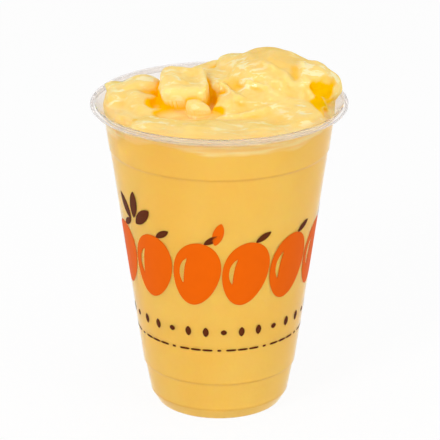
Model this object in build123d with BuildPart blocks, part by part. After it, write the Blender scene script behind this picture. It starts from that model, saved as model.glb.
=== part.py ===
"""Mango smoothie in a clear plastic cup, filled and heaped over the rim.

Two pieces: the cup, a thin tapered shell with a curled rim, a stacking shoulder, a stacking
step and a pushed-up base; and the thick smoothie, one solid from the floor of the cup to the
folds of its heap. Millimetres, +Z up, origin at the middle of the foot ring's plane.
The heap's tall side is towards +X, and -Y is the front.
"""

import os
from math import cos, radians, sin

from build123d import *

# ---- driving dimensions of the cup ----
rim_diameter = 95.0  # over the curled rim
cup_height = 118.5  # table to the crest of the rim
wall = 0.6  # thickness of the plastic everywhere
curl_radius = 1.2  # outside radius of the rim's curl
curl_turn = 225.0  # how far the lip curls round, in degrees
flare_angle = 45.0  # of the flare that leads the wall out to the curl

mouth_radius = 42.1  # inner radius where the flare starts
shoulder_height = 101.4  # top of the small stacking shoulder
shoulder_radius = 40.35  # inner radius above the shoulder
shoulder_step = 0.5  # how far the shoulder steps out
shoulder_fall = 0.8  # height of the slope that makes the step
step_height = 16.6  # top of the stacking step near the base
step_radius = 28.15  # inner radius above the step
step_depth = 0.6  # how far the step goes in
step_fall = 0.7
crease_radius = 25.45  # inside, where the wall breaks inwards to the foot
crease_height = 4.75  # of that break
foot_radius = 23.05  # inside, where the slope under the crease meets the floor of the foot
foot_fillet = 1.2

plateau_radius = 17.0  # inside, of the pushed-up middle of the base
groove_radius = 19.4  # where the slope of the push-up meets the foot groove
base_recess = 2.6  # how far the underside is pushed up
small_fillet = 1.5 * wall  # at the shoulder, the stacking step and the crease
base_fillet = 1.2

# ---- driving dimensions of the smoothie ----
fill_gap = 0.6  # how far below the crest of the rim the smoothie leaves the flare
block_size = (17.0, 19.0, 11.0)  # the tilted block: width, depth, thickness
block_place = (-13.5, -2.5, 120.2)  # its middle
block_tilt = 17.0  # how far its top leans down to the front, in degrees
block_fillet = 3.5
trim_margin = 1.0  # how far the trimming cylinder stands over the highest scoop

# Round scoops of the heap: (x, y) of the middle, half width at the pool, rise over the pool.
scoops = [
    ((3.0, 5.0), 40.0, 4.0),  # the low dome under all the others
    ((18.0, 12.0), 21.0, 16.0),  # the main mound
    ((33.5, 6.0), 11.5, 14.2),  # the hump at the right
    ((4.5, 22.0), 14.5, 12.4),  # the hump behind
    ((-6.0, 27.0), 14.0, 8.0),
    ((30.0, -8.0), 12.0, 8.8),
    ((33.0, -18.0), 10.0, 4.6),
    ((-33.0, 9.0), 11.5, 4.4),
    ((-18.0, 17.0), 15.0, 7.0),
    ((-22.0, -13.0), 11.0, 4.0),
]

# Long folds: (x, y) of the middle, half width, rise, length between the round ends, turn.
folds = [
    ((8.0, -9.0), 13.5, 6.6, 18.0, 8.0),  # the apron in front of the main mound
    ((3.0, -20.0), 11.0, 4.4, 16.0, -10.0),
    ((-31.0, -6.0), 7.5, 5.0, 14.0, 68.0),  # the bright ridge at the left
    ((23.0, 25.0), 13.0, 9.0, 16.0, -40.0),  # behind the main mound
]

rim_radius = rim_diameter / 2
curl_x = rim_radius - curl_radius
curl_z = cup_height - curl_radius
floor_top = base_recess + wall
band_top_radius = step_radius - step_depth
band_top_height = step_height - step_fall
fill_level = cup_height - fill_gap


def flare_start():
    """Where the inner wall meets the flare that runs tangent onto the curl: its radius and height."""
    touch_x = curl_x - curl_radius * sin(radians(flare_angle))
    touch_z = curl_z + curl_radius * cos(radians(flare_angle))
    run = touch_x - mouth_radius
    return (mouth_radius, touch_z - run * sin(radians(flare_angle)) / cos(radians(flare_angle)))


def flare_end():
    """Where the flare touches the curl."""
    touch_x = curl_x - curl_radius * sin(radians(flare_angle))
    touch_z = curl_z + curl_radius * cos(radians(flare_angle))
    return (touch_x, touch_z)


def flare_at(height):
    """Radius of the flare's inner face at a height."""
    (x0, z0), (x1, z1) = flare_start(), flare_end()
    return x0 + (x1 - x0) * (height - z0) / (z1 - z0)


def inner_corners():
    """Corners of the cup's inner face from the axis up to the flare's start, and their fillets."""
    return [
        ((0, floor_top), None),
        ((plateau_radius, floor_top), base_fillet),
        ((groove_radius, wall), base_fillet),
        ((foot_radius, wall), foot_fillet),
        ((crease_radius, crease_height), small_fillet),
        ((band_top_radius, band_top_height), small_fillet),
        ((step_radius, step_height), small_fillet),
        ((shoulder_radius - shoulder_step, shoulder_height - shoulder_fall), small_fillet),
        ((shoulder_radius, shoulder_height), small_fillet),
        (flare_start(), base_fillet),
    ]


def inner_line(end):
    """Draws the cup's inner face, from the axis to a point on the flare, in the current line."""
    corners = inner_corners()
    points = [point for point, _ in corners] + [end]
    radii = [fillet_radius for _, fillet_radius in corners[1:]]
    return FilletPolyline(*points, radius=radii)


fill_radius = flare_at(fill_level)


def scoop_ball(half_width, rise):
    """Radius of a ball that stands out of the pool by a rise over a half width, and its middle's height."""
    radius = (half_width * half_width + rise * rise) / (2 * rise)
    return radius, fill_level + rise - radius


# ---- the cup: its inner face offset outwards by the wall, and turned round the axis ----
with BuildPart() as cup:
    with BuildSketch(Plane.XZ):
        with BuildLine():
            inner_line(flare_end())
            CenterArc((curl_x, curl_z), curl_radius, 90 + flare_angle, -curl_turn)
            offset(amount=wall, side=Side.RIGHT)
        make_face()
    revolve(axis=Axis.Z)
cup.part.label = "cup"

# ---- the heap: round scoops, long folds and one tilted block, trimmed to stand in the mouth ----
top_rise = max([rise for _, _, rise in scoops] + [fold[2] for fold in folds])
with BuildPart() as heap:
    for (x, y), half_width, rise in scoops:
        ball_radius, ball_z = scoop_ball(half_width, rise)
        with Locations((x, y, ball_z)):
            Sphere(ball_radius)
    for (x, y), half_width, rise, length, turn in folds:
        ball_radius, ball_z = scoop_ball(half_width, rise)
        with Locations(Location((x, y, ball_z), (0, 0, turn))):
            Cylinder(ball_radius, length, rotation=(0, 90, 0))
            with Locations((-length / 2, 0, 0), (length / 2, 0, 0)):
                Sphere(ball_radius)
    block_up = (0, -sin(radians(block_tilt)), cos(radians(block_tilt)))
    with BuildSketch(Plane(block_place, x_dir=(1, 0, 0), z_dir=block_up)):
        RectangleRounded(block_size[0], block_size[1], block_fillet)
    extrude(amount=block_size[2] / 2, both=True)
    with Locations((0, 0, fill_level)):
        Cylinder(
            fill_radius,
            top_rise + trim_margin,
            align=(Align.CENTER, Align.CENTER, Align.MIN),
            mode=Mode.INTERSECT,
        )

# ---- the smoothie: the inside of the cup up to the fill level, with the heap on it ----
with BuildPart() as smoothie:
    with BuildSketch(Plane.XZ):
        with BuildLine():
            inner_line((fill_radius, fill_level))
            Polyline((fill_radius, fill_level), (0, fill_level), (0, floor_top))
        make_face()
    revolve(axis=Axis.Z)
    add(heap.part)
smoothie.part.label = "smoothie"

os.makedirs("parts", exist_ok=True)
export_step(cup.part, "parts/cup.step")
export_step(smoothie.part, "parts/smoothie.step")
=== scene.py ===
import math

import bpy
import numpy as np
from mathutils import Matrix


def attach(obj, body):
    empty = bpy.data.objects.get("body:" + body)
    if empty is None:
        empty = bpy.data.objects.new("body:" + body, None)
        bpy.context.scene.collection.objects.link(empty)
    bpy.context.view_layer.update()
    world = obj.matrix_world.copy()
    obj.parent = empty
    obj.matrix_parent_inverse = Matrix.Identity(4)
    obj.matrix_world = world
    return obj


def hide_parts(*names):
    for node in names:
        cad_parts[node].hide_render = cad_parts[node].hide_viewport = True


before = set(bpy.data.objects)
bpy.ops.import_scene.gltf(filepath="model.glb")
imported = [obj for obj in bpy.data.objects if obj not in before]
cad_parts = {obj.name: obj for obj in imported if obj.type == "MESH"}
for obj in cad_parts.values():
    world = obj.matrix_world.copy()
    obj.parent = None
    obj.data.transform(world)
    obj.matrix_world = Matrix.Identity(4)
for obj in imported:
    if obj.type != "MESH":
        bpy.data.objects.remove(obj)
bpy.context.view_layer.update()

mm = 0.001

# The cup in mm. The path is its inner face as (radius, height, fillet), from the axis up to the flare.
cupSize = dict(
    wall=0.6,
    curlRadius=1.2,
    curlX=46.3,
    curlZ=117.3,
    curlFrom=135,  # degrees
    curlTo=-90,
    curlSteps=24,
    steps=300,
    arcSteps=7,
    milkyAbove=112.5,
    path=[
        (0.0, 3.2, 0.0),  # the pushed-up middle
        (17.0, 3.2, 1.2),
        (19.4, 0.6, 1.2),
        (23.05, 0.6, 1.2),  # the foot
        (25.45, 4.75, 0.5),  # the crease
        (27.55, 15.9, 0.5),
        (28.15, 16.6, 0.5),  # the stacking step
        (39.85, 100.6, 0.5),
        (40.35, 101.4, 0.5),  # the shoulder
        (42.1, 114.8, 1.2),
        (45.4515, 118.1485, 0.0),  # where the flare meets the curl
    ],
)


# A smooth mesh object at the origin, from vertices in mm and faces.
def makeMesh(name, verts, faces):
    mesh = bpy.data.meshes.new(name)
    mesh.from_pydata((np.asarray(verts) * mm).tolist(), [], [tuple(face) for face in faces])
    mesh.polygons.foreach_set("use_smooth", np.ones(len(mesh.polygons), dtype=bool))
    mesh.update()
    obj = bpy.data.objects.new(name, mesh)
    bpy.context.scene.collection.objects.link(obj)
    return obj


# Polyline with filleted corners: an arc of radius r runs between the points at t = r / tan(half the
# corner's angle) from each corner, its centre on the corner's bisector. Straight stretches keep only
# their ends.
def roundedPath(corners, arcSteps):
    points = [np.array(corners[0][:2])]
    for i in range(1, len(corners) - 1):
        before, here, after = (np.array(corners[j][:2]) for j in (i - 1, i, i + 1))
        radius = corners[i][2]
        a = (before - here) / np.linalg.norm(before - here)
        b = (after - here) / np.linalg.norm(after - here)
        half = math.acos(float(np.clip(a @ b, -1, 1))) / 2
        reach = radius / math.tan(half)
        middle = here + (a + b) / np.linalg.norm(a + b) * radius / math.sin(half)
        start = here + a * reach - middle
        end = here + b * reach - middle
        turn = math.atan2(start[0] * end[1] - start[1] * end[0], start @ end)
        for share in np.linspace(0, 1, arcSteps):
            c = math.cos(turn * share)
            s = math.sin(turn * share)
            points.append(middle + (c * start[0] - s * start[1], s * start[0] + c * start[1]))
    points.append(np.array(corners[-1][:2]))
    return np.array(points)


# Surface of revolution: x = r cos a, y = r sin a, z = h for the profile's (r, h). Where r = 0 a ring is
# one pole.
def revolved(name, profile, steps):
    angles = np.arange(steps) * 2 * math.pi / steps
    r, h = profile[:, 0], profile[:, 1]
    x = r[:, None] * np.cos(angles)
    y = r[:, None] * np.sin(angles)
    verts = np.stack([x, y, h[:, None] + 0 * angles], -1).reshape(-1, 3)
    rows = len(profile)
    i, j = np.meshgrid(np.arange(rows - 1), np.arange(steps), indexing="ij")
    i, j = i.ravel(), j.ravel()
    k = (j + 1) % steps
    quads = np.stack([i * steps + j, (i + 1) * steps + j, (i + 1) * steps + k, i * steps + k], -1)
    first = np.arange(rows)[:, None] * steps
    quads = np.where(np.isclose(r, 0)[:, None], first, first + np.arange(steps)).ravel()[quads]
    faces = [list(dict.fromkeys(quad)) for quad in quads.tolist()]
    faces = [face for face in faces if len(face) > 2]
    used, inverse = np.unique(np.concatenate([np.array(face) for face in faces]), return_inverse=True)
    ends = np.cumsum([len(face) for face in faces])[:-1]
    return makeMesh(name, verts[used], [part.tolist() for part in np.split(inverse, ends)])


# A shader value: + - * / and the functions below make Math nodes.
class Value:
    def __init__(self, graph, socket):
        self.graph = graph
        self.socket = socket

    def op(self, kind, *others):
        return self.graph.math(kind, self, *others)

    def __add__(self, other):
        return self.op("ADD", other)

    def __radd__(self, other):
        return self.op("ADD", other)

    def __sub__(self, other):
        return self.op("SUBTRACT", other)

    def __rsub__(self, other):
        return self.graph.math("SUBTRACT", other, self)

    def __mul__(self, other):
        return self.op("MULTIPLY", other)

    def __rmul__(self, other):
        return self.op("MULTIPLY", other)

    def __truediv__(self, other):
        return self.op("DIVIDE", other)

    def __rtruediv__(self, other):
        return self.graph.math("DIVIDE", other, self)

    # The value held between 0 and 1.
    def clamp(self):
        return self.op("MAXIMUM", 0.0).op("MINIMUM", 1.0)

    # 0 at the low value, 1 at the high one, straight between: (v - low) / (high - low), clamped.
    def step(self, low, high):
        return ((self - low) / (high - low)).clamp()


# The node tree of one material or of the world.
class Graph:
    def __init__(self, name, family=bpy.data.materials):
        self.owner = family.new(name)
        self.owner.use_nodes = True
        self.tree = self.owner.node_tree
        self.tree.nodes.clear()

    # A node of a kind: its settings first, then its sockets by name, or by number as i0, i1 and so on.
    def node(self, kind, settings=None, **inputs):
        made = self.tree.nodes.new(kind)
        for key, value in (settings or {}).items():
            setattr(made, key, value)
        for key, value in inputs.items():
            place = int(key[1:]) if key[1:].isdigit() else key.replace("_", " ")
            self.put(made.inputs[place], value)
        return made

    # Links a value or a socket, or sets a constant.
    def put(self, socket, value):
        if isinstance(value, Value):
            self.tree.links.new(value.socket, socket)
        elif isinstance(value, bpy.types.NodeSocket):
            self.tree.links.new(value, socket)
        else:
            socket.default_value = value

    def math(self, kind, *values):
        made = self.node("ShaderNodeMath", dict(operation=kind))
        for socket, value in zip(made.inputs, values):
            self.put(socket, value)
        return Value(self, made.outputs[0])

    # Colour first (1 - share) + second share.
    def mix(self, share, first, second):
        made = self.node("ShaderNodeMix", dict(data_type="RGBA"), i0=share, i6=first, i7=second)
        return made.outputs[2]

    def noise(self, scale, detail=2.0, roughness=0.5, vector=None, distortion=0.0):
        inputs = dict(Scale=scale, Detail=detail, Roughness=roughness, Distortion=distortion)
        made = self.node("ShaderNodeTexNoise", None, Vector=vector or self.position(), **inputs)
        return Value(self, made.outputs[0])

    def position(self):
        return self.node("ShaderNodeTexCoord").outputs["Object"]

    # The position with each axis scaled, and turned about z.
    def scaled(self, scale, turn=0.0):
        rotation = (0.0, 0.0, turn)
        made = self.node("ShaderNodeMapping", None, Vector=self.position(), Scale=scale, Rotation=rotation)
        return made.outputs[0]

    def axes(self):
        made = self.node("ShaderNodeSeparateXYZ", None, Vector=self.position())
        return [Value(self, out) for out in made.outputs]

    def bump(self, height, strength, distance):
        made = self.node("ShaderNodeBump", None, Height=height, Strength=strength, Distance=distance)
        return made.outputs[0]

    def principled(self, settings):
        shader = self.node("ShaderNodeBsdfPrincipled")
        for key, value in settings.items():
            self.put(shader.inputs[key], value)
        return shader.outputs[0]

    # Ends the tree with one principled shader, or with two mixed by a share of the second.
    def finish(self, settings, share=None, others=None):
        surface = self.principled(settings)
        if others:
            second = self.principled(others)
            surface = self.node("ShaderNodeMixShader", None, i0=share, i1=surface, i2=second).outputs[0]
        self.node("ShaderNodeOutputMaterial", None, Surface=surface)
        return self.owner


# Linear colour from display values 0..255: ((v + 0.055) / 1.055) ** 2.4, or v / 12.92 where v is dark.
def srgb(*display):
    def one(v):
        return v / 12.92 if v < 0.04045 else ((v + 0.055) / 1.055) ** 2.4
    return tuple(one(v / 255) for v in display) + (1.0,)


# The path moved along its right-hand normal: p + d (t.y, -t.x), t the mean of the tangents on both sides.
def offsetPath(points, distance):
    step = np.diff(points, axis=0)
    step /= np.linalg.norm(step, axis=1)[:, None]
    tangent = np.concatenate([step[:1], step[:-1] + step[1:], step[-1:]])
    tangent /= np.linalg.norm(tangent, axis=1)[:, None]
    return points + distance * np.stack([tangent[:, 1], -tangent[:, 0]], -1)


# The shell's section: the inner face with the curl's arc, and back along the same line moved out by the
# wall.
def cupProfile():
    size = cupSize
    angle = np.radians(np.linspace(size["curlFrom"], size["curlTo"], size["curlSteps"]))
    curlR = size["curlX"] + size["curlRadius"] * np.cos(angle)
    curlH = size["curlZ"] + size["curlRadius"] * np.sin(angle)
    line = np.concatenate([inner[:-1], np.stack([curlR, curlH], -1)])
    outer = offsetPath(line, size["wall"])
    outer[0] = (0, line[0, 1] - size["wall"])
    return np.concatenate([line, outer[::-1]])


inner = roundedPath(cupSize["path"], cupSize["arcSteps"])
cup = revolved("cupShell", cupProfile(), cupSize["steps"])
print("cup", len(cup.data.polygons))

# The heap in mm. Lobes are (middle, half sizes, turn about z in degrees, softness of the join); crevices
# and the spots of painted crevice shade are (middle, half sizes, turn); ropes are (points, radius).
heapSize = dict(
    origin=60.0,  # height from which rays are cast
    rings=160,
    segments=440,
    edgeRadius=45.1,
    edgeHeight=117.75,
    rayStart=1.36,  # as a share of the way to the edge's height
    rayMoves=60,
    rayMove=0.75,  # share of the distance that one move takes
    rayMost=(-1, 4),
    sink=0.35,  # how far the side reaches into the cup's wall
    wallFrom=18,  # first point of the path where the wall rises
    evenBelow=25,
    wallMost=47.0,
    edgeGap=0.15,
    pool=116.9,
    dip=(-26.0, 31.0, 24.0, 3.2, 1.4),  # x, y, size, depth, reach
    edgeDrop=2.4,
    edgeFrom=38.0,
    edgeRun=5.0,
    edgeMost=1.3,
    dropBelow=120.0,
    dropRun=2.0,
    lobes=[
        ((17.5, 13.0, 116.0), (18.0, 16.5, 17.8), 0, 2.6),
        ((17.5, 1.5, 119.0), (14.0, 9.0, 10.4), -32, 3.6),
        ((9.0, 3.0, 118.5), (7.5, 11.0, 9.6), 18, 3.0),
        ((17.0, -6.0, 115.0), (18.5, 13.0, 8.8), 6, 3.4),
        ((28.0, -13.0, 114.5), (16.0, 14.0, 6.6), -30, 3.4),
        ((34.6, 6.0, 118.8), (10.8, 13.0, 11.8), -10, 2.4),
        ((31.5, 1.0, 118.0), (7.0, 13.0, 9.6), -14, 2.6),
        ((31.0, 13.0, 117.0), (11.0, 12.0, 11.0), 0, 2.4),
        ((6.3, 20.0, 117.0), (9.5, 13.0, 13.0), 0, 1.8),
        ((-3.0, 26.0, 115.5), (12.0, 10.0, 7.8), 0, 2.6),
        ((22.0, 27.0, 115.5), (19.0, 13.0, 11.0), -35, 3.2),
        ((-2.5, 9.0, 116.0), (9.0, 13.0, 9.6), 10, 2.6),
        ((-12.5, 8.0, 117.0), (10.0, 9.0, 10.4), 0, 2.2),
        ((-35.0, 6.0, 115.5), (10.0, 14.0, 6.4), 12, 2.6),
        ((-29.0, 7.5, 117.6), (7.5, 7.5, 8.6), 10, 2.6),
        ((-26.0, -7.0, 114.5), (8.5, 11.0, 6.4), 16, 2.4),
        ((-29.5, -5.5, 117.4), (2.8, 9.0, 4.0), 14, 1.8),
        ((-20.0, -24.0, 114.2), (17.0, 10.0, 3.7), 14, 2.4),
        ((2.0, -31.0, 113.8), (36.0, 12.0, 4.2), 0, 2.4),
        ((3.5, -9.5, 116.0), (7.5, 9.0, 7.2), -6, 2.2),
    ],
    block=dict(middle=(-13.2, -1.6, 121.6), half=(8.8, 9.8, 6.2), lean=12.0, turn=2.0, round=2.4, join=0.8),
    crevices=[
        ((-11.5, -17.0, 119.2), (11.8, 6.2, 3.4), 2),
        ((-3.2, -8.6, 121.4), (2.2, 6.6, 4.4), -8),
        ((-23.0, -8.4, 120.6), (2.4, 4.4, 2.6), -6),
        ((-34.4, -20.0, 118.4), (2.4, 5.6, 4.2), 20),
        ((38.6, -4.0, 124.6), (5.0, 1.6, 1.2), 10),
        ((38.6, -14.0, 118.0), (1.2, 2.0, 1.2), 24),
    ],
    creviceJoin=1.2,
    ropes=[
        ([(12.9, 9.0, 131.2), (19.0, 1.0, 130.0), (25.2, -4.2, 126.9), (29.0, -7.5, 122.3)], 1.5),
        ([(31.0, 4.5, 130.0), (32.3, -4.2, 126.1), (34.0, -8.5, 121.8)], 1.5),
        ([(-1.0, -18.6, 117.2), (8.2, -18.6, 118.1), (16.2, -18.0, 119.8), (22.0, -15.5, 120.4)], 1.3),
        ([(2.1, -1.0, 123.6), (7.0, -10.6, 122.2), (12.5, -14.0, 120.3)], 1.4),
        ([(8.5, -3.0, 126.8), (15.6, -7.2, 125.0), (23.0, -10.5, 121.8)], 1.2),
        ([(-25.0, -28.0, 117.0), (-13.0, -31.5, 117.4), (0.0, -33.0, 117.3)], 1.0),
        ([(5.0, -34.5, 117.3), (16.0, -32.5, 117.3), (27.0, -27.0, 117.1)], 1.0),
    ],
    ropeJoin=1.7,
    chunk=((-8.0, -12.8, 118.8), (4.6, 3.4, 3.4), -14, 0.8),
    # Spots of painted crevice shade: colour only, they change no shape.
    shadeSpots=[
        ((38.4, -3.0, 124.4), (6.0, 5.0, 2.2), 10),
        ((36.5, -12.0, 119.0), (3.0, 6.0, 3.0), 24),
        ((-34.4, -20.0, 116.6), (2.6, 5.6, 4.0), 20),
    ],
)

# The heap's finer relief, in mm: each noise has its scale and its seed.
reliefSize = dict(
    warp=dict(depth=1.3, scale=8.0, draws=((40, 3), (90, 4), (10, 5))),  # (shift, seed)
    ridge=dict(stretch=(1.0, 0.6, 1.0), scale=7.0, seed=7, sharp=2.2, round=0.02, height=0.5, level=0.2),
    furrow=dict(stretch=(0.28, 1.0, 1.2), turn=-14, warp=0.8, scale=2.5, seed=12, height=0.34),
    furrowed=dict(scale=16.0, seed=13, lift=0.5, least=0.15),
    lump=dict(scale=2.6, seed=8, least=0.06, more=0.12),
    grain=dict(scale=1.2, seed=9, height=0.05),
    roughFrom=117.5,
    roughRun=4.0,
    roughLeast=0.25,
    calmRadius=45.0,
    calmRun=3.0,
)

latticeSide = 32


# Value noise: random corner values of a repeating lattice, mixed by s = t t (3 - 2 t) along each axis, as
# -1..1.
def smoothNoise(points, scale, seed):
    table = np.random.default_rng(seed).random((latticeSide, latticeSide, latticeSide))
    p = points / scale
    cell = np.floor(p).astype(int)
    t = p - cell
    t = t * t * (3 - 2 * t)
    total = 0
    for corner in np.ndindex(2, 2, 2):
        share = 1
        for axis, far in enumerate(corner):
            share = share * (t[..., axis] if far else 1 - t[..., axis])
        index = (cell + corner) % latticeSide
        total = total + share * table[index[..., 0], index[..., 1], index[..., 2]]
    return total * 2 - 1


# Points seen from a middle and turned back about z.
def turned(points, middle, degrees):
    q = points - np.array(middle)
    c = math.cos(math.radians(degrees))
    s = math.sin(math.radians(degrees))
    return np.stack([c * q[..., 0] + s * q[..., 1], c * q[..., 1] - s * q[..., 0], q[..., 2]], -1)


# Distance to an ellipsoid, good near its face: k (k - 1) / g, k = |q / h|, g = |q / h^2|.
def ellipsoid(points, middle, half, degrees):
    q = turned(points, middle, degrees)
    k = np.linalg.norm(q / np.array(half), axis=-1)
    g = np.linalg.norm(q / np.array(half) ** 2, axis=-1)
    return k * (k - 1) / np.maximum(g, 1e-6)


# Distance to a box with rounded edges that leans forward about x: the distance to a smaller box, less the
# radius.
def roundedBlock(points, size):
    q = turned(points, size["middle"], size["turn"])
    c = math.cos(math.radians(size["lean"]))
    s = math.sin(math.radians(size["lean"]))
    q = np.stack([q[..., 0], c * q[..., 1] + s * q[..., 2], c * q[..., 2] - s * q[..., 1]], -1)
    d = np.abs(q) - (np.array(size["half"]) - size["round"])
    return np.linalg.norm(np.maximum(d, 0), axis=-1) + np.minimum(d.max(-1), 0) - size["round"]


# Distance to a round rope: the least over its straight parts of |p - a - t (b - a)| - r, t clipped to 0..1.
def rope(points, line, radius):
    best = np.inf
    for a, b in zip(np.array(line[:-1]), np.array(line[1:])):
        t = np.clip((points - a) @ (b - a) / ((b - a) @ (b - a)), 0, 1)
        best = np.minimum(best, np.linalg.norm(points - a - t[..., None] * (b - a), axis=-1))
    return best - radius


# Smooth minimum: min(a, b) - h^3 k / 6, h = max(k - |a - b|, 0) / k.
def softMin(a, b, k):
    h = np.maximum(k - np.abs(a - b), 0) / k
    return np.minimum(a, b) - h ** 3 * k / 6


# How much lower the smoothie's edge lies than at the front: the drop times |cos a|, a the angle from +X.
def edgeDropAt(side):
    return heapSize["edgeDrop"] * np.abs(side)


# Shifts of the points along x, y and z by three noises.
def warpAt(points):
    size = reliefSize["warp"]
    shifts = [smoothNoise(points + shift, size["scale"], seed) for shift, seed in size["draws"]]
    return size["depth"] * np.stack(shifts, -1)


# Height of the fine relief: ridges 1 - s sqrt(n^2 + e) and furrows, both less near the pool and the edge,
# and lumps and grain taken away from them.
def reliefAt(points, warp, r):
    size = reliefSize
    p = points + warp
    ridge = size["ridge"]
    crease = smoothNoise(p * np.array(ridge["stretch"]), ridge["scale"], ridge["seed"])
    ridges = 1 - ridge["sharp"] * np.sqrt(crease ** 2 + ridge["round"])
    furrow = size["furrow"]
    along = turned(points + furrow["warp"] * warp, (0, 0, 0), furrow["turn"]) * np.array(furrow["stretch"])
    area = size["furrowed"]
    where = np.clip(smoothNoise(points, area["scale"], area["seed"]) + area["lift"], area["least"], 1)
    furrows = smoothNoise(along, furrow["scale"], furrow["seed"]) * where
    rough = np.clip((points[..., 2] - size["roughFrom"]) / size["roughRun"], size["roughLeast"], 1)
    rough = rough * np.clip((size["calmRadius"] - r) / size["calmRun"], 0, 1)
    lump = size["lump"]
    lumps = (lump["least"] + lump["more"] * rough) * smoothNoise(p, lump["scale"], lump["seed"])
    grain = size["grain"]["height"] * smoothNoise(p, size["grain"]["scale"], size["grain"]["seed"])
    return rough * (ridge["height"] * ridges - ridge["level"] + furrow["height"] * furrows) - lumps - grain


# Distance to the heap: the pool's plane joined to every lobe, rope and the block, the crevices cut out, the
# chunk laid in, and the edge lowered at the sides.
def heapDistance(points):
    size = heapSize
    x, y, z = points[..., 0], points[..., 1], points[..., 2]
    r = np.hypot(x, y)
    dipX, dipY, dipSize, dipDepth, dipReach = size["dip"]
    backLeft = np.clip(dipReach - np.hypot(x - dipX, y - dipY) / dipSize, 0, 1)
    d = z - (size["pool"] - dipDepth * backLeft)
    warp = warpAt(points)
    p = points + warp
    for middle, half, degrees, join in size["lobes"]:
        d = softMin(d, ellipsoid(p, middle, half, degrees), join * 2)
    for line, radius in size["ropes"]:
        d = softMin(d, rope(p, line, radius), size["ropeJoin"])
    d = softMin(d, roundedBlock(p, size["block"]), size["block"]["join"] * 2)
    for middle, half, degrees in size["crevices"]:
        d = -softMin(-d, ellipsoid(points, middle, half, degrees), size["creviceJoin"])
    middle, half, degrees, join = size["chunk"]
    d = softMin(d, ellipsoid(p, middle, half, degrees), join * 2)
    fall = np.clip((r - size["edgeFrom"]) / size["edgeRun"], 0, size["edgeMost"]) ** 2
    fall = fall * np.clip((size["dropBelow"] - z) / size["dropRun"], 0, 1)
    d = d + edgeDropAt(x / np.maximum(r, 1)) * fall
    return d - reliefAt(points, warp, r)


# The heap's points, where rays from (0, 0, origin) meet it: ray k goes through ring i and segment j of a
# disc at the edge's height. It starts outside and moves in by a share of the distance, again and again,
# until d = 0.
def heapTop():
    size = heapSize
    share = np.arange(1, size["rings"] + 1) / size["rings"]
    angle = np.arange(size["segments"]) * 2 * math.pi / size["segments"]
    drop = edgeDropAt(np.cos(angle))
    radius = share[:, None] * (size["edgeRadius"] - drop)
    reach = size["edgeHeight"] - size["origin"] - share[:, None] * drop
    aim = np.stack([radius * np.cos(angle), radius * np.sin(angle), reach], -1)
    aim = np.concatenate([aim.reshape(-1, 3), [[0.0, 0.0, size["edgeHeight"] - size["origin"]]]])
    start = np.array([0, 0, size["origin"]])
    t = np.full(len(aim), size["rayStart"])
    for _ in range(size["rayMoves"]):
        d = heapDistance(start + aim * t[:, None])
        t = t - np.clip(d, *size["rayMost"]) * size["rayMove"] / np.linalg.norm(aim, axis=1)
    return start + aim * t[:, None]


top = heapTop()
print("heap", top.shape, top.min(0), top.max(0))


# The heap's grid closed by the cup's inner face moved out by the sink. On the wall each ring lies at the
# lower of the path's height and the heap's edge, at the wall's radius there. A pole closes the top and
# another the floor.
def smoothieMesh():
    size = heapSize
    n, s = size["rings"], size["segments"]
    grid, middle = top[:-1].reshape(n, s, 3).copy(), top[-1]
    sunk = offsetPath(inner, size["sink"])
    sunk[0, 0] = 0
    wallR, wallZ = sunk[size["wallFrom"]:].T
    r = np.hypot(grid[..., 0], grid[..., 1])
    limit = np.where(grid[..., 2] < wallZ[-1], np.interp(grid[..., 2], wallZ, wallR), size["wallMost"])
    grid[..., :2] *= (np.minimum(r, limit) / r)[..., None]
    edge = grid[-1]
    angle = np.arctan2(edge[:, 1], edge[:, 0])
    down = sunk[::-1]
    rows = list(grid)
    for ringR, ringZ in down[1:-1]:
        z = np.full(s, ringZ)
        ring = np.full(s, ringR)
        if ringZ > size["evenBelow"]:
            z = np.minimum(ringZ, edge[:, 2] - size["edgeGap"])
            ring = np.interp(z, wallZ, wallR)
        rows.append(np.stack([ring * np.cos(angle), ring * np.sin(angle), z], -1))
    verts = np.concatenate([np.concatenate(rows), [middle], [[0, 0, down[-1, 1]]]])
    i, j = np.meshgrid(np.arange(len(rows) - 1), np.arange(s), indexing="ij")
    i, j = i.ravel(), j.ravel()
    k = (j + 1) % s
    quads = np.stack([i * s + j, (i + 1) * s + j, (i + 1) * s + k, i * s + k], -1)
    j = np.arange(s)
    k = (j + 1) % s
    last = (len(rows) - 1) * s
    crown = np.stack([np.full(s, len(verts) - 2), j, k], -1)
    floor = np.stack([last + k, last + j, np.full(s, len(verts) - 1)], -1)
    return makeMesh("smoothieBody", verts, quads.tolist() + crown.tolist() + floor.tolist())


smoothie = smoothieMesh()

# How hollow places are found: fine and wide are (passes of blur, depth in mm, share).
cavitySize = dict(
    level=0.5,
    fine=(60, 1.6, 0.5),
    wide=(400, 5.0, 0.35),
    cutShare=0.5,
    cutReach=1.2,
    cutRun=1.6,
    ragged=1.2,
    raggedScale=3.0,
    raggedSeeds=(21, 22, 23),
    chunkGap=0.6,
    edgeRings=12,
)


# Mean of each grid point and its four neighbours, wrapped along the second axis, repeated.
def blurred(field, passes):
    for _ in range(passes):
        up = np.vstack([field[1:], field[-1:]])
        down = np.vstack([field[:1], field[:-1]])
        field = (field + up + down + np.roll(field, 1, 1) + np.roll(field, -1, 1)) / 5
    return field
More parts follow.
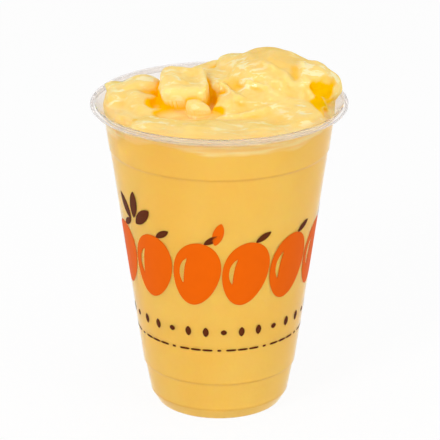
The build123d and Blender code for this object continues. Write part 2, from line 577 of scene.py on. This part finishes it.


# Attribute on the heap, 0..1: 0.5 plus shares of (blurred height - height), clipped, and of the crevices
# and the spots of painted shade, none of it near the edge. The chunk gets no painted shade.
def addCavity():
    size = cavitySize
    n, s = heapSize["rings"], heapSize["segments"]
    grid = top[:-1].reshape(n, s, 3)
    height = grid[..., 2]
    hollow = 0
    for passes, depth, share in (size["fine"], size["wide"]):
        hollow = hollow + share * np.clip((blurred(height, passes) - height) / depth, -0.5, 0.5)
    wander = [smoothNoise(grid, size["raggedScale"], seed) for seed in size["raggedSeeds"]]
    ragged = grid + size["ragged"] * np.stack(wander, -1)
    cut = 0
    for middle, half, degrees in heapSize["crevices"] + heapSize["shadeSpots"]:
        depth = size["cutReach"] - ellipsoid(ragged, middle, half, degrees) / size["cutRun"]
        cut = np.maximum(cut, np.clip(depth, 0, 1))
    middle, half, degrees, join = heapSize["chunk"]
    cut = cut * np.clip(ellipsoid(grid, middle, half, degrees) - size["chunkGap"], 0, 1)
    inside = np.clip((n - 1 - np.arange(n)) / size["edgeRings"], 0, 1)[:, None]
    value = np.full(len(smoothie.data.vertices), size["level"], dtype=np.float32)
    value[:n * s] = (size["level"] + np.clip(hollow + size["cutShare"] * cut, -0.5, 0.5) * inside).ravel()
    layer = smoothie.data.attributes.new("cavity", "FLOAT", "POINT")
    layer.data.foreach_set("value", value)


addCavity()
print("smoothie", len(smoothie.data.polygons))

# The print in mm and degrees: flat shapes wrapped on the wall, a hair proud of it. wallLow and wallHigh
# are two (height, radius) of the wall's outer face.
printSize = dict(
    lift=0.04,
    wallLow=(16.6, 28.76),
    wallHigh=(100.6, 40.46),
    shrink=0.01,
    rows=6,
    leafSteps=40,
    mangoes=dict(count=12, turn=-14.0, height=62.6, long=12.9, wide=8.8, bulge=0.1, lean=78.0, rows=12),
    slit=dict(start=48.0, end=128.0, at=0.62, width=0.85, power=0.7, least=0.05, steps=24),
    flag=dict(every=4, leaf=(4.6, 1.9, 76, 8.2, 16.6)),  # length, width, turn, x, y
    stalkLeaf=(3.3, 1.25, 32, 6.0, 14.2),
    sprig=dict(angle=-57.0, height=82.5, length=5.6, width=2.2),
    sprigLeaves=((-5.0, 0.5, 125), (1.2, 2.6, 80), (5.6, -1.2, 40)),  # x, y, turn
    seeds=dict(count=30, turn=3, height=38.6, long=2.0, short=1.1, shortEvery=3, width=1.15),
    dashes=dict(count=44, height=31.0, long=1.9, short=0.7, shortEvery=4, width=0.42, steps=28, rows=3),
)


# Flat place (s along, h up) on the cone: a = angle + s / R, z = height + h, the radius there that of the
# wall plus the lift. The angle is counted from the front, -Y, towards +X.
def wrapped(flat, angle, height):
    (z0, r0), (z1, r1) = printSize["wallLow"], printSize["wallHigh"]
    z = height + flat[..., 1]
    radius = r0 + (r1 - r0) * (z - z0) / (z1 - z0) + printSize["lift"]
    middle = r0 + (r1 - r0) * (height - z0) / (z1 - z0)
    a = math.radians(angle - 90) + flat[..., 0] / middle
    return np.stack([radius * np.cos(a), radius * np.sin(a), z], -1)


# Grid between two closed outlines: p(u, v) = inside(v) (1 - u) + outside(v) u.
def ringPatch(inside, outside, rows):
    u = np.linspace(0, 1, rows)[:, None, None]
    return inside[None] * (1 - u) + outside[None] * u


# A filled outline: a grid from a tiny copy at its middle out to itself.
def filled(outline, rows):
    middle = outline.mean(0)
    return ringPatch(middle + (outline - middle) * printSize["shrink"], outline, rows)


# One mesh from grids of (rows, columns, 3) closed along the columns.
def joinPatches(name, patches):
    verts, faces, at = [], [], 0
    for grid in patches:
        n, s = grid.shape[:2]
        i, j = np.meshgrid(np.arange(n - 1), np.arange(s), indexing="ij")
        i, j = i.ravel(), j.ravel()
        k = (j + 1) % s
        faces += (np.stack([i * s + j, (i + 1) * s + j, (i + 1) * s + k, i * s + k], -1) + at).tolist()
        verts.append(grid.reshape(-1, 3))
        at += n * s
    return makeMesh(name, np.concatenate(verts), faces)


# Flat points turned about the origin: (c x - s y, s x + c y).
def rotated(x, y, degrees):
    c = math.cos(math.radians(degrees))
    s = math.sin(math.radians(degrees))
    return np.stack([c * x - s * y, s * x + c * y], -1)


# A wrapped leaf, a pointed oval: x = L cos v, y = W sin v |sin v|^0.5, turned, moved and filled.
def leafPatch(leaf, angle, height):
    length, width, degrees, x0, y0 = leaf
    v = np.linspace(0, 2 * math.pi, printSize["leafSteps"], endpoint=False)
    outline = rotated(length * np.cos(v), width * np.sin(v) * np.abs(np.sin(v)) ** 0.5, degrees)
    return wrapped(filled(outline + np.array((x0, y0)), printSize["rows"]), angle, height)


# Fruit outline: x = L cos v, y = W sin v (1 + bulge cos v), turned. Its bright slit is a crescent: a
# share of that outline from v1 to v2, moved outwards by w sin(pi t)^0.7 on the way there and inwards on
# the way back.
def mangoPatches():
    size, slit, flag = printSize["mangoes"], printSize["slit"], printSize["flag"]
    low, high = math.radians(slit["start"]), math.radians(slit["end"])
    steps = slit["steps"]

    def fruit(v):
        return size["long"] * np.cos(v), size["wide"] * np.sin(v) * (1 + size["bulge"] * np.cos(v))

    there = np.linspace(low, high, steps)
    back = np.linspace(high, low + 2 * math.pi, 3 * steps + 2)[1:-1]
    returning = np.linspace(high, low, len(back) + 2)[1:-1]
    slitAngle = np.concatenate([there, returning])
    middle = np.stack(fruit(slitAngle), -1) * slit["at"]
    outward = middle / np.linalg.norm(middle, axis=1)[:, None]
    arch = np.clip(np.sin(math.pi * (slitAngle - low) / (high - low)), 0, 1) ** slit["power"]
    side = np.concatenate([np.full(steps, 1.0), np.full(len(back), -1.0)])
    hole = middle + outward * ((slit["width"] * arch + slit["least"]) * side)[:, None]
    hole = rotated(hole[:, 0], hole[:, 1], size["lean"])
    outline = rotated(*fruit(np.concatenate([there, back])), size["lean"])
    made = []
    for i in range(size["count"]):
        at = size["turn"] + i * 360 / size["count"]
        made.append(wrapped(ringPatch(hole, outline, size["rows"]), at, size["height"]))
        if i % flag["every"] == 0:
            made.append(leafPatch(flag["leaf"], at, size["height"]))
    return made


mangoes = joinPatches("mangoBand", mangoPatches())


# A dash with rounded ends: x = L sign(cos v) |cos v|^0.5, y = W sign(sin v) |sin v|^0.6.
def dashOutline(length, width, steps):
    v = np.linspace(0, 2 * math.pi, steps, endpoint=False)
    x = length * np.sign(np.cos(v)) * np.abs(np.cos(v)) ** 0.5
    y = width * np.sign(np.sin(v)) * np.abs(np.sin(v)) ** 0.6
    return np.stack([x, y], -1)


# Leaves on the fruit, a small sprig, a row of seeds at even pitch, and a dashed thin line.
def darkPatches():
    made = []
    fruit = printSize["mangoes"]
    for i in range(fruit["count"]):
        at = fruit["turn"] + i * 360 / fruit["count"]
        made.append(leafPatch(printSize["stalkLeaf"], at, fruit["height"]))
    sprig = printSize["sprig"]
    for x, y, lean in printSize["sprigLeaves"]:
        leaf = (sprig["length"], sprig["width"], lean, x, y)
        made.append(leafPatch(leaf, sprig["angle"], sprig["height"]))
    seeds = printSize["seeds"]
    for i in range(seeds["count"]):
        length = seeds["long"] if i % seeds["shortEvery"] else seeds["short"]
        leaf = (length, seeds["width"], 90, 0, 0)
        made.append(leafPatch(leaf, i * 360 / seeds["count"] + seeds["turn"], seeds["height"]))
    dashes = printSize["dashes"]
    for i in range(dashes["count"]):
        length = dashes["long"] if i % dashes["shortEvery"] else dashes["short"]
        dash = filled(dashOutline(length, dashes["width"], dashes["steps"]), dashes["rows"])
        made.append(wrapped(dash, i * 360 / dashes["count"], dashes["height"]))
    return made


marks = joinPatches("darkMarks", darkPatches())
print("print", len(mangoes.data.polygons), len(marks.data.polygons))

# The smoothie's look. Noises are (scale, detail, roughness), colours are display values, a number after a
# colour is its share, and the ranges hold where a mask starts and is full. Heights are in metres.
skinLook = dict(
    mottle=(110.0, 4.0, 0.6),
    fine=(700.0, 3.0, 0.6),
    patches=(210.0, 3.0, 0.55),
    patchWarp=0.8,
    patchRange=(0.38, 0.62),
    patchHeights=(0.1175, 0.122),
    streaks=(330.0, 3.0, 0.6),
    streakWarp=0.6,
    streakStretch=(0.45, 1.0, 1.0),
    streakTurn=0.35,
    streakRange=(0.52, 0.6),
    streakGroups=(70.0, 2.0, 0.5),
    groupRange=(0.38, 0.54),
    aboveHeights=(0.1165, 0.1185),
    plateauHeights=(0.1275, 0.132),
    crestRange=(0.06, 0.36),
    creviceRange=(0.54, 0.86),
    mixRange=(0.35, 0.65),
    surface=((253, 207, 105), (255, 216, 126)),
    # Painted highlight: pale patches on the upper heap stand in for wet glints.
    patchGlint=((255, 228, 150), 0.3),
    # Painted shade: the heap's top darker where it faces up, away from the lamps.
    plateauShade=((250, 202, 98), 0.8),
    # Painted highlight: paler colour where the surface bulges out.
    crest=((255, 224, 142), 0.6),
    # Painted highlight: pale streaks stand in for glints on wet ripples.
    streakGlint=((255, 240, 190), 0.75),
    streakCavity=(0.62, 0.12),
    # Painted shade: deep yellow where light would bounce around in the crevices.
    creviceShade=(255, 187, 2),
    bodyNoise=(40.0, 3.0, 0.5),
    body=((248, 196, 76), (248, 201, 85)),
    smearEdge=(38.0, 2.0, 0.5),
    smearWave=0.012,
    smearHeights=(0.1108, 0.1122),
    smearGrain=(900.0, 2.0, 0.5),
    smearStretch=(0.06, 0.06, 1.0),
    smearRange=(0.4, 0.6),
    smear=((255, 226, 158), (255, 206, 122), 0.85),
    # Painted shade: thin darker lines at the heights where the cup's wall steps.
    rings=(0.0163, 0.0047, 0.1009),  # heights of the thin lines where the wall steps
    ringHalf=0.0007,
    ring=((222, 158, 40), 0.45),
    relief=(300.0, 3.0, 0.5),
    reliefFine=0.15,
    reliefStrength=0.35,
    reliefDepth=0.0006,
    dullCavity=(0.6, 0.85),
    dullFacing=(0.5, 0.82),
    wetRoughness=(0.2, 0.03),
    wetIor=1.36,
    mattRoughness=0.6,
    under={"Subsurface Weight": 0.5, "Subsurface Radius": (1.0, 0.7, 0.2), "Subsurface Scale": 0.002},
)


# The heap's colour: mottled; pale patches, crests and streaks of painted highlight; painted shade darker on
# the plateau and deep yellow in the crevices.
def surfaceColour(g, look, z, mottle, cavity):
    colour = g.mix(mottle.step(*look["mixRange"]), srgb(*look["surface"][0]), srgb(*look["surface"][1]))
    # Painted highlight: pale patches stand in for wet glints on the upper heap.
    patches = g.noise(*look["patches"], None, look["patchWarp"]).step(*look["patchRange"])
    pale, share = look["patchGlint"]
    colour = g.mix(patches * z.step(*look["patchHeights"]) * share, colour, srgb(*pale))
    # Painted shade: the heap's top darker where it faces up, away from the lamps.
    plateauShade, share = look["plateauShade"]
    colour = g.mix(z.step(*look["plateauHeights"]) * share, colour, srgb(*plateauShade))
    # Painted highlight: paler colour where the surface bulges out.
    crest, share = look["crest"]
    colour = g.mix((0.5 - cavity).step(*look["crestRange"]) * share, colour, srgb(*crest))
    # Painted highlights: pale streaks stand in for glints on wet ripples, kept out of the hollows.
    stretched = g.scaled(look["streakStretch"], look["streakTurn"])
    streaks = g.noise(*look["streaks"], stretched, look["streakWarp"]).step(*look["streakRange"])
    streaks = streaks * g.noise(*look["streakGroups"]).step(*look["groupRange"])
    streakGlint, share = look["streakGlint"]
    most, run = look["streakCavity"]
    colour = g.mix(streaks * (most - cavity).step(0.0, run) * share, colour, srgb(*streakGlint))
    # Painted shade: deep yellow in the crevices stands in for light bouncing there.
    return g.mix(cavity.step(*look["creviceRange"]), colour, srgb(*look["creviceShade"]))


# The colour behind the wall: even, with a smear under the rim and thin lines of painted shade where the wall
# steps.
def bodyColour(g, look, z):
    mottle = g.noise(*look["bodyNoise"]).step(*look["mixRange"])
    colour = g.mix(mottle, srgb(*look["body"][0]), srgb(*look["body"][1]))
    wave = (g.noise(*look["smearEdge"]) - 0.5) * look["smearWave"]
    smear = (z + wave).step(*look["smearHeights"])
    first, second, share = look["smear"]
    grain = g.noise(*look["smearGrain"], g.scaled(look["smearStretch"])).step(*look["smearRange"])
    colour = g.mix(smear * share, colour, g.mix(grain, srgb(*first), srgb(*second)))
    # Painted shade: thin darker lines where the cup's wall steps.
    dark, share = look["ring"]
    for height in look["rings"]:
        ring = 1.0 - g.math("ABSOLUTE", z - height) / look["ringHalf"]
        colour = g.mix(ring.clamp() * share, colour, srgb(*dark))
    return colour


# Wet and matt shaders of one colour, matt in the crevices and where the surface turns away.
def smoothieSkin():
    look = skinLook
    g = Graph("smoothieSkin")
    z = g.axes()[2]
    mottle = g.noise(*look["mottle"])
    cavity = Value(g, g.node("ShaderNodeAttribute", dict(attribute_name="cavity")).outputs["Fac"])
    above = z.step(*look["aboveHeights"])
    colour = g.mix(above, bodyColour(g, look, z), surfaceColour(g, look, z, mottle, cavity))
    height = g.noise(*look["relief"]) + g.noise(*look["fine"]) * look["reliefFine"]
    relief = g.bump(height, look["reliefStrength"], look["reliefDepth"])
    facing = Value(g, g.node("ShaderNodeLayerWeight", None, Blend=0.5).outputs["Facing"])
    dull = g.math("MAXIMUM", cavity.step(*look["dullCavity"]) * above, facing.step(*look["dullFacing"]))
    share, least = look["wetRoughness"]
    common = {"Base Color": colour, "Normal": relief, **look["under"]}
    wet = {"Roughness": mottle * share + least, "IOR": look["wetIor"], **common}
    matt = {"Roughness": look["mattRoughness"], "Specular IOR Level": 0.0, **common}
    return g.finish(wet, dull, matt)


smoothie.data.materials.append(smoothieSkin())

# Looks of the cup's plastic: clear on the wall, a little milky from under the rim up.
plasticLook = dict(
    clear={"Base Color": (0.985, 0.985, 0.985, 1), "Roughness": 0.06, "IOR": 1.22, "Transmission Weight": 1.0},
    milky={"Base Color": (0.93, 0.9, 0.88, 1), "Roughness": 0.25, "IOR": 1.1, "Transmission Weight": 0.88},
)
cup.data.materials.append(Graph("cupClear").finish(plasticLook["clear"]))
cup.data.materials.append(Graph("cupRim").finish(plasticLook["milky"]))
heights = np.array([polygon.center[2] for polygon in cup.data.polygons])
cup.data.polygons.foreach_set("material_index", (heights > cupSize["milkyAbove"] * mm).astype(np.int32))

# Looks of the print: two near colours mixed by a noise.
printLook = dict(
    noise=300.0,
    finish={"Roughness": 0.5, "Specular IOR Level": 0.05},
    orange=((229, 97, 0), (224, 93, 0)),
    brown=((96, 44, 16), (84, 38, 14)),
)


# Ink of two near colours: first (1 - n) + second n, n a noise.
def printInk(name, colours):
    g = Graph(name)
    colour = g.mix(g.noise(printLook["noise"]), srgb(*colours[0]), srgb(*colours[1]))
    return g.finish({"Base Color": colour, **printLook["finish"]})


mangoes.data.materials.append(printInk("orangePrint", printLook["orange"]))
marks.data.materials.append(printInk("brownPrint", printLook["brown"]))

for piece in (cup, smoothie, mangoes, marks):
    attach(piece, "root")
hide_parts("cup")
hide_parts("smoothie")
print("materials and bodies set")

# The stage, in metres and watts: lights are (name, place, size, power) and aim at a target.
stageSize = dict(
    floor=6.0,
    paper=(0.93, 0.93, 0.93, 1),
    cameraGlow=0.93,
    skyStrength=0.62,
    white=(1, 1, 1, 1),
    lights=[
        ("keyLight", (-0.55, -0.8, 0.65), (0, 0, 0.07), 0.3, 5.0),
        ("fillLight", (0.8, -0.6, 0.3), (0, 0, 0.07), 0.6, 2.6),
        ("topLight", (0.05, -0.1, 1.0), (0, 0, 0.1), 0.12, 0.5),
    ],
    steep=0.99,  # past this share of straight down a light is turned by +Y instead of +Z
    cameraPlace=(0.00026, -0.99979, 0.44515),
    cameraDown=20.52,  # degrees under level
    sensor=36.0,
    focalPixels=2856.0,
    picturePixels=440,
    clip=(0.05, 20.0),
)


# White floor: lit paper for the light, and glowing white for glossy and transmitted rays and most of the
# view.
def makeFloor():
    bpy.ops.mesh.primitive_plane_add(size=stageSize["floor"])
    floor = bpy.context.object
    floor.name = "studioFloor"
    g = Graph("floorPaper")
    path = g.node("ShaderNodeLightPath").outputs
    view = g.math("MULTIPLY", path["Is Camera Ray"], stageSize["cameraGlow"])
    seen = g.math("MAXIMUM", path["Is Glossy Ray"], path["Is Transmission Ray"])
    seen = g.math("MAXIMUM", seen, view)
    shade = g.node("ShaderNodeBsdfDiffuse", None, Color=stageSize["paper"]).outputs[0]
    glow = g.node("ShaderNodeEmission", None, Color=stageSize["white"], Strength=1.0).outputs[0]
    blend = g.node("ShaderNodeMixShader", None, i0=seen, i1=shade, i2=glow).outputs[0]
    g.node("ShaderNodeOutputMaterial", None, Surface=blend)
    floor.data.materials.append(g.owner)
    return floor


# White world for the view and for glossy and transmitted rays, and a dimmer one for the light.
def makeWorld():
    g = Graph("studio", bpy.data.worlds)
    path = g.node("ShaderNodeLightPath").outputs
    seen = g.math("MAXIMUM", path["Is Camera Ray"], path["Is Glossy Ray"])
    seen = g.math("MAXIMUM", seen, path["Is Transmission Ray"])
    white = stageSize["white"]
    dim = g.node("ShaderNodeBackground", None, Color=white, Strength=stageSize["skyStrength"]).outputs[0]
    bright = g.node("ShaderNodeBackground", None, Color=white, Strength=1.0).outputs[0]
    blend = g.node("ShaderNodeMixShader", None, i0=seen, i1=dim, i2=bright).outputs[0]
    g.node("ShaderNodeOutputWorld", None, Surface=blend)
    return g.owner


# Square area light aimed from a place at a target: its back axis is -aim, its side axis upward x back.
def softLight(name, place, target, size, power):
    data = bpy.data.lights.new(name, "AREA")
    data.shape = "SQUARE"
    data.size = size
    data.energy = power
    lamp = bpy.data.objects.new(name, data)
    bpy.context.scene.collection.objects.link(lamp)
    aim = np.array(target) - np.array(place)
    back = -aim / np.linalg.norm(aim)
    upward = (0, 0, 1) if abs(back[2]) < stageSize["steep"] else (0, 1, 0)
    side = np.cross(upward, back)
    side /= np.linalg.norm(side)
    up = np.cross(back, side)
    rows = [[side[i], up[i], back[i], place[i]] for i in range(3)]
    lamp.matrix_world = Matrix(rows + [[0, 0, 0, 1]])


floor = makeFloor()
bpy.context.scene.world = makeWorld()
for light in stageSize["lights"]:
    softLight(*light)

camera = bpy.data.objects.new("camera", bpy.data.cameras.new("camera"))
bpy.context.scene.collection.objects.link(camera)
camera.data.lens = stageSize["focalPixels"] / stageSize["picturePixels"] * stageSize["sensor"]
camera.data.sensor_width = stageSize["sensor"]
camera.data.clip_start, camera.data.clip_end = stageSize["clip"]
camera.location = stageSize["cameraPlace"]
camera.rotation_euler = (math.radians(90 - stageSize["cameraDown"]), 0, 0)
bpy.context.scene.camera = camera
bpy.context.scene.view_settings.view_transform = "Standard"
print("stage set")
